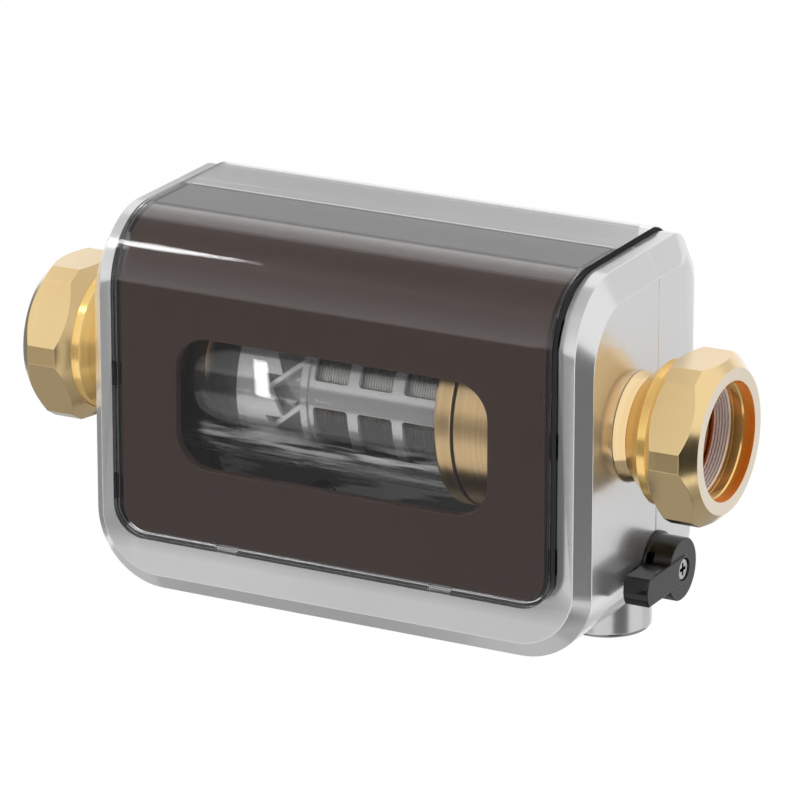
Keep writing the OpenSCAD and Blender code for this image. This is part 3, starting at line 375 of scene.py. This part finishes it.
union_span = 0.235
wall_in = 0.0219
spigot_shade_face = 1
for end in ("inlet", "outlet"):
    tail = dressed_copy(end + "_tailpiece", end + "_tailpiece_brass", edge=0.0004)
    tail.data.materials.append(bright)
    tail.data.materials.append(rubber)
    # Painted shade: faces of the spigot between the walls take black rubber.
    for side in tail.data.polygons:
        spots = [tail.data.vertices[i].co for i in side.vertices]
        if all(wall_in < p.x < union_span - wall_in for p in spots):
            side.material_index = spigot_shade_face
    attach(tail, "housing")
    port_seal = dressed_copy(end + "_port_seal", end + "_port_seal_rubber", edge=0.0)
    port_seal.data.materials.append(rubber)
    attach(port_seal, "housing")
    washer = dressed_copy(end + "_washer", end + "_washer_fibre")
    washer.data.materials.append(fibre)
    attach(washer, "housing")

# Union nuts: hot-pressed brass, machined and satin finished, with a nickel-plated thread.
# Inside the mouth a deep orange-red is painted glow, for light bouncing in the brass. Each turns
# freely on the neck of its tailpiece.
# Painted glow: deep orange-red for the inside of the mouth.
mouth_glow = ringed_metal(
    "painted_glow_mouth", 500.0, 0.05, (0.96, 0.27, 0.025), (0.98, 0.40, 0.055), (0.14, 0.22), 0.45)
gilt = ringed_metal(
    "gilt_lip", 500.0, 0.05, (0.97, 0.60, 0.18), (0.99, 0.70, 0.27), (0.14, 0.22), 0.75)
faced = ringed_metal(
    "faced_brass", 700.0, 0.05, (0.86, 0.75, 0.60), (0.91, 0.81, 0.67), (0.18, 0.26), 0.9)
nickel = ringed_metal(
    "nickel_thread", 600.0, 0.1, (0.90, 0.89, 0.88), (0.96, 0.95, 0.94), (0.18, 0.30), 0.4)

mouth_glow_face, gilt_face, faced_face = 1, 2, 3
bore_reach = 0.02135
collar_end = -0.0033
thread_start = 0.0003
thread_root = 0.02095
thread_crest = 0.0199
thread_pitch = 0.0011
thread_turns = 6.2
turn_steps = 48
ridge_outline = (
    (0.0, thread_root), (0.0009, thread_root), (0.00056, thread_crest), (0.00034, thread_crest))
nut_face = 0.0166
mouth_steps = (
    (0.0090, 0.0212), (0.0089, 0.0207), (0.0081, 0.0207), (0.0079, 0.0210), (0.0075, 0.0210),
    (0.0073, 0.0207), (0.0047, 0.0207), (0.0042, 0.0212))
ring_steps = 96
cut_crease_deg = 30.0
for end, seat, out in (("inlet", 0.0, -1.0), ("outlet", union_span, 1.0)):
    nut = dressed_copy(end + "_nut", end + "_nut_brass", crease_deg=14.0, edge=0.0005, rounds=3)
    for finish in (brass, mouth_glow, gilt, faced):
        nut.data.materials.append(finish)
    for side in nut.data.polygons:
        spots = [nut.data.vertices[i].co for i in side.vertices]
        in_bore = math.hypot(side.center.y, side.center.z) < bore_reach
        if in_bore and abs(side.normal.x) < 0.5 and (side.center.x - seat) * out > 0.0:
            side.material_index = mouth_glow_face
        if all((p.x - seat) * out < collar_end for p in spots):
            side.material_index = gilt_face
        if side.normal.x * out > 0.8:
            side.material_index = faced_face
    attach(nut, end + "_nut")

    bm = bmesh.new()
    start = seat + out * thread_start
    bm.faces.new([bm.verts.new((start + out * x, 0.0, r)) for x, r in ridge_outline])
    bmesh.ops.spin(
        bm, geom=bm.verts[:] + bm.edges[:] + bm.faces[:], cent=(start, 0.0, 0.0),
        axis=(out, 0.0, 0.0), dvec=(out * thread_pitch / turn_steps, 0.0, 0.0),
        angle=2 * math.pi * thread_turns, steps=int(turn_steps * thread_turns))
    bmesh.ops.remove_doubles(bm, verts=bm.verts, dist=1e-7)
    bmesh.ops.recalc_face_normals(bm, faces=bm.faces)
    shade(bm, cut_crease_deg)
    thread = made_object(bm, end + "_nut_thread")
    thread.data.materials.append(nickel)
    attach(thread, end + "_nut")

    bm = bmesh.new()
    outline = [
        bm.verts.new((seat + out * (nut_face - depth), 0.0, r)) for depth, r in mouth_steps]
    rim = [bm.edges.new((a, b)) for a, b in zip(outline, outline[1:] + outline[:1])]
    bmesh.ops.spin(
        bm, geom=outline + rim, cent=(seat, 0.0, 0.0), axis=(1.0, 0.0, 0.0),
        angle=2 * math.pi, steps=ring_steps, use_merge=True)
    bmesh.ops.remove_doubles(bm, verts=bm.verts, dist=1e-7)
    bmesh.ops.recalc_face_normals(bm, faces=bm.faces)
    shade(bm, cut_crease_deg)
    mouth = made_object(bm, end + "_nut_mouth")
    mouth.data.materials.append(gilt)
    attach(mouth, end + "_nut")

# Drain valve: a brass body under the manifold with a chromed ball between two white
# seats. Its steel stem turns in a gland behind two rubber rings.
seat_white, tree, shader, place = new_material("white_seat_plastic")
wax = speckle(tree, place, 120.0)
colours(tree, shader, wax, (0.72, 0.72, 0.70), (0.80, 0.80, 0.78))
spread(tree, shader, "Roughness", wax, 0.35, 0.5)

chrome, tree, shader, place = new_material("satin_chrome")
wipe = speckle(tree, place, 80.0, 2.0)
colours(tree, shader, wipe, (0.56, 0.56, 0.565), (0.64, 0.64, 0.645))
spread(tree, shader, "Roughness", wipe, 0.2, 0.27)
shader.inputs["Metallic"].default_value = 1.0

for node, body, finish, slot_name in (
        ("valve_body", "housing", brass, "brass"),
        ("valve_seal", "housing", rubber, "rubber"),
        ("upper_seat", "housing", seat_white, "seat_plastic"),
        ("lower_seat", "housing", seat_white, "seat_plastic"),
        ("stem_gland", "housing", seat_white, "seat_plastic"),
        ("drain_ball", "drain_lever", chrome, "chrome"),
        ("drain_stem", "drain_lever", zinc, "steel"),
        ("stem_rings", "drain_lever", rubber, "rubber")):
    fitting = dressed_copy(node, node + "_fitted", edge=0.0)
    fitting.data.materials.append(finish)
    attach(fitting, body)

# Drain spout: a turned and chromed sleeve, pressed over the valve body from below.
# Its lower edge is rounded and its plain bore is the size for a hose fitting.
spout = dressed_copy("drain_spout", "drain_spout_chrome", edge=0.0005, rounds=3)
spout.data.materials.append(chrome)
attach(spout, "housing")

# Fascia: a bent acrylic panel, printed dark warm brown on its back, with a rounded
# window over the cartridge. A grey trim strip follows it along the top.
brown, tree, shader, place = new_material("brown_fascia")
tint = speckle(tree, place, 9.0, 2.0)
colours(tree, shader, tint, (0.037, 0.0210, 0.0168), (0.041, 0.0238, 0.0192))
spread(tree, shader, "Roughness", tint, 0.3, 0.4)
shader.inputs["Specular IOR Level"].default_value = 0.2
fascia = dressed_copy("fascia_panel", "fascia_panel_brown", edge=0.0009, rounds=4)
fascia.data.materials.append(brown)
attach(fascia, "housing")

grey, tree, shader, place = new_material("grey_trim")
brush = speckle(tree, place, 300.0, 2.0, (0.05, 1.0, 1.0))
colours(tree, shader, brush, (0.085, 0.085, 0.083), (0.105, 0.105, 0.102))
spread(tree, shader, "Roughness", brush, 0.3, 0.42)
trim = dressed_copy("top_trim", "top_trim_grey")
trim.data.materials.append(grey)
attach(trim, "housing")

# Trim cords: two thin rubber cords laid in the joints in front of the trim strip and
# behind it, and a pale bead of sealant behind the rear one. They stop the cover rattling.
bead_pale, tree, shader, place = new_material("pale_bead")
chalk = speckle(tree, place, 400.0)
colours(tree, shader, chalk, (0.66, 0.66, 0.65), (0.74, 0.74, 0.73))
spread(tree, shader, "Roughness", chalk, 0.35, 0.5)
trim_low, trim_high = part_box("top_trim")
cover_in = 0.0581
cord_gap = 0.00002
cord_high = 0.0007
cord_long = trim_high[0] - trim_low[0]
cord_mid = (trim_low[0] + trim_high[0]) / 2
for name, y, width, finish, slot_name in (
        ("front_cord", trim_low[1] + 0.0003, 0.0026, rubber, "rubber"),
        ("rear_cord", trim_high[1] - 0.0004, 0.0017, rubber, "rubber"),
        ("rear_bead", trim_high[1] + 0.0012, 0.0011, bead_pale, "trim")):
    bm = bmesh.new()
    bmesh.ops.create_cube(bm, size=1.0)
    bmesh.ops.scale(bm, verts=bm.verts, vec=(cord_long, width, cord_high))
    bmesh.ops.translate(
        bm, verts=bm.verts, vec=(cord_mid, y, cover_in - cord_gap - cord_high / 2))
    bmesh.ops.bevel(
        bm, geom=bm.edges[:], offset=cord_high * 0.3, affect="EDGES", segments=3, profile=0.5,
        material=-1)
    for face in bm.faces:
        face.smooth = True
    cord = made_object(bm, name)
    cord.data.materials.append(finish)
    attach(cord, "housing")

# Clear cover: one piece of moulded polycarbonate over the front, the top and the back
# edge. Its cut ends are near-black glass as painted shade, for the dark look of a clear
# edge over a dark inside. Snap tabs round its edge lock into slots in the front shell.
clear, tree, shader, place = new_material("clear_polycarbonate")
haze = speckle(tree, place, 12.0, 2.0)
colours(tree, shader, haze, (0.975, 0.975, 0.975), (0.99, 0.99, 0.99))
shader.inputs["Roughness"].default_value = 0.0
shader.inputs["Transmission Weight"].default_value = 1.0
shader.inputs["IOR"].default_value = clear_ior

edge_dark, tree, shader, place = new_material("painted_shade_cover_edge")
edge_shade_noise = speckle(tree, place, 12.0, 2.0)
colours(tree, shader, edge_shade_noise, (0.010, 0.010, 0.010), (0.016, 0.016, 0.016))
shader.inputs["Roughness"].default_value = 0.0
shader.inputs["Transmission Weight"].default_value = 1.0
shader.inputs["IOR"].default_value = 1.15

dark_face = 1
cover = dressed_copy("clear_cover", "clear_cover_glazed", edge=0.0004, rounds=3)
cover.data.materials.append(clear)
cover.data.materials.append(edge_dark)
# Painted shade: the cut ends take the near-black glass.
for side in cover.data.polygons:
    if abs(side.normal.x) > 0.7:
        side.material_index = dark_face
cover.visible_shadow = False
cover.visible_diffuse = False
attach(cover, "housing")

# Drain lever: moulded glossy black, with a thin foot against the wall and a straight
# blade. A cross-head screw in a recess holds it on the square end of the stem.
black, tree, shader, place = new_material("glossy_black_plastic")
skin = speckle(tree, place, 220.0)
colours(tree, shader, skin, (0.004, 0.004, 0.004), (0.007, 0.0068, 0.0066))
spread(tree, shader, "Roughness", skin, 0.11, 0.17)
shader.inputs["Specular IOR Level"].default_value = 0.4
relief(tree, shader, skin, 0.00002, 0.05)
lever = dressed_copy("drain_lever", "drain_lever_black", edge=0.0005, rounds=3, clamp=False)
lever.data.materials.append(black)
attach(lever, "drain_lever")
lever_screw = dressed_copy("lever_screw", "lever_screw_zinc", edge=0.0002)
lever_screw.data.materials.append(zinc)
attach(lever_screw, "drain_lever")

# Studio: a plain pale floor well below the part, which hangs on its pipes, and soft boxes
# above and to the sides. Grey cards out of the picture, flat and curved, shape the
# reflections, and a small bright one gives the glint in the window.


def in_sight(tree):
    """1 for rays from the camera, off metal or through glass, and 0 for all others."""
    path = tree.nodes.new("ShaderNodeLightPath")
    straight = reckon(
        tree, "MAXIMUM", path.outputs["Is Camera Ray"], path.outputs["Is Transmission Ray"])
    return reckon(tree, "MAXIMUM", straight, path.outputs["Is Glossy Ray"])


middle = Vector((0.1175, 0.0, -0.012))
floor_z = -0.5
floor_half = 8.0
bm = bmesh.new()
bmesh.ops.create_grid(bm, x_segments=1, y_segments=1, size=floor_half)
bmesh.ops.translate(bm, verts=bm.verts, vec=(middle.x, 0.0, floor_z))
floor = made_object(bm, "floor")
pale, tree, shader, place = new_material("pale_floor")
shader.inputs["Base Color"].default_value = (0.86, 0.86, 0.86, 1.0)
shader.inputs["Roughness"].default_value = 0.9
white_share = 0.985
glow = tree.nodes.new("ShaderNodeEmission")
glow.inputs["Strength"].default_value = 1.0
blend = tree.nodes.new("ShaderNodeMixShader")
tree.links.new(reckon(tree, "MULTIPLY", in_sight(tree), white_share), blend.inputs["Fac"])
tree.links.new(shader.outputs["BSDF"], blend.inputs[1])
tree.links.new(glow.outputs["Emission"], blend.inputs[2])
tree.links.new(blend.outputs["Shader"], tree.nodes["Material Output"].inputs["Surface"])
floor.data.materials.append(pale)

world = bpy.data.worlds.new("studio")
bpy.context.scene.world = world
world.use_nodes = True
tree = world.node_tree
backdrop = tree.nodes["Background"]
backdrop.inputs["Color"].default_value = (1.0, 1.0, 1.0, 1.0)
spread(tree, backdrop, "Strength", in_sight(tree), 0.72, 1.0)


def soft_box(name, at, size, power):
    """Rectangular area lamp that faces the part."""
    lamp = bpy.data.lights.new(name, "AREA")
    lamp.shape = "RECTANGLE"
    lamp.size, lamp.size_y = size
    lamp.energy = power
    holder = bpy.data.objects.new(name, lamp)
    bpy.context.scene.collection.objects.link(holder)
    holder.location = at
    holder.rotation_mode = "QUATERNION"
    holder.rotation_quaternion = (middle - Vector(at)).to_track_quat("-Z", "Y")
    return holder


for name, at, size, power in (
        ("box_above", (-0.35, -0.9, 1.5), (1.4, 0.9), 9.0),
        ("box_left", (-1.5, -0.7, 0.7), (0.7, 1.2), 5.0),
        ("box_right", (1.5, 0.5, 0.9), (0.8, 1.2), 5.0)):
    soft_box(name, at, size, power).visible_glossy = False
soft_box("strip_above", (-0.420, -0.482, 0.757), (0.075, 0.095), 0.3)


def grey_card(bm, name, tone, fade=None, glass=False):
    """Card that shows only in reflections, and through glass if asked. A fade whitens it by Z."""
    card = made_object(bm, name)
    card_felt, tree, shader, place = new_material(name + "_felt")
    shader.inputs["Base Color"].default_value = (0.0, 0.0, 0.0, 1.0)
    shader.inputs["Specular IOR Level"].default_value = 0.0
    shader.inputs["Emission Color"].default_value = (1.0, 1.0, 1.0, 1.0)
    shader.inputs["Emission Strength"].default_value = tone
    if fade:
        rise = along(tree, place, "Z", *fade)
        spread(tree, shader, "Emission Strength", rise, tone, 1.0)
    card.data.materials.append(card_felt)
    card.visible_camera = False
    card.visible_diffuse = False
    card.visible_transmission = glass
    card.visible_shadow = False


up = (0.0, 0.0, 1.0)
back = (0.0, 1.0, 0.0)
for name, at, facing, size, tone, fade, glass in (
        ("card_right", (1.05, -0.44, -0.30), (-0.84, 0.44, 0.32), (0.7, 0.95), 0.05, None, False),
        ("card_left", (-0.70, -0.40, -0.28), (0.8, 0.5, 0.32), (0.35, 0.6), 0.15, None, False),
        ("card_left_back", (-0.75, 0.42, -0.30), (0.83, -0.45, 0.32), (0.4, 0.6), 0.2, None, False),
        ("card_below", (0.38, 0.15, -0.46), up, (0.78, 0.9), 0.38, None, False),
        ("card_below_left", (-0.095, 0.15, -0.46), up, (0.17, 0.9), 0.03, None, False),
        ("card_below_far", (-0.355, 0.15, -0.46), up, (0.35, 0.9), 0.38, None, False),
        ("card_behind", (0.68, 0.88, -0.30), (-0.44, -0.84, 0.32), (0.7, 0.6), 0.8, None, False),
        ("card_front", (-0.435, -1.04, -0.21), back, (0.33, 0.56), 0.24, (-0.02, 0.03), True),
        ("card_front_left", (-0.745, -1.04, -0.21), back, (0.29, 0.56), 0.42, (0.0, 0.07), True),
        ("card_front_right", (-0.12, -1.04, -0.21), back, (0.30, 0.56), 0.2, (0.0, 0.07), True),
        ("card_low_right", (0.43, -0.17, -0.455), up, (0.3, 0.3), 0.02, None, False),
        ("card_back_right", (0.66, 0.84, 0.34), (-0.5, -0.84, -0.2), (0.5, 0.4), 0.75, None, False),
        ("glint_front", (-0.4585, -1.03, -0.3345), back, (0.0085, 0.027), 10.0, None, True)):
    bm = bmesh.new()
    bmesh.ops.create_grid(bm, x_segments=1, y_segments=1, size=0.5)
    bmesh.ops.scale(bm, verts=bm.verts, vec=(*size, 1.0))
    turn = Vector(facing).to_track_quat("Z", "Y").to_matrix().to_4x4()
    bmesh.ops.transform(bm, verts=bm.verts, matrix=Matrix.Translation(Vector(at)) @ turn)
    grey_card(bm, name, tone, fade, glass)

arc_ends = (-0.455, -0.165)
arc_axis = (0.0, -0.037, 0.045)
arc_reach = 0.88
for name, rise_from, rise_to, tone, fade in (
        ("arc_high", math.radians(4), math.radians(56), 0.32, (0.80, 0.02)),
        ("arc_above", math.radians(56), math.radians(110), 0.27, None),
        ("arc_back", math.radians(150), math.radians(172), 0.5, None)):
    bm = bmesh.new()
    y = arc_axis[1] - arc_reach * math.cos(rise_from)
    z = arc_axis[2] + arc_reach * math.sin(rise_from)
    start = [bm.verts.new((x, y, z)) for x in arc_ends]
    line = bm.edges.new(start)
    bmesh.ops.spin(
        bm, geom=start + [line], cent=arc_axis, axis=(1.0, 0.0, 0.0),
        angle=rise_from - rise_to, steps=24)
    grey_card(bm, name, tone, fade, glass=True)

# Camera: a long lens from the right, a little above the part, as in the photograph.
# Its place comes from the straight edges of the housing and the rings of the nut.
lens = bpy.data.cameras.new("camera")
lens.sensor_width = 36.0
lens.lens = 265.05
lens.clip_start = 0.05
lens.clip_end = 60.0
camera = bpy.data.objects.new("camera", lens)
bpy.context.scene.collection.objects.link(camera)
camera.matrix_world = Matrix((
    (0.8835, -0.1496, 0.4439, 1.0483),
    (0.4684, 0.2821, -0.8373, -1.7445),
    (0.0, 0.9477, 0.3193, 0.6601),
    (0.0, 0.0, 0.0, 1.0)))
bpy.context.scene.camera = camera

bpy.context.scene.view_settings.view_transform = "Standard"
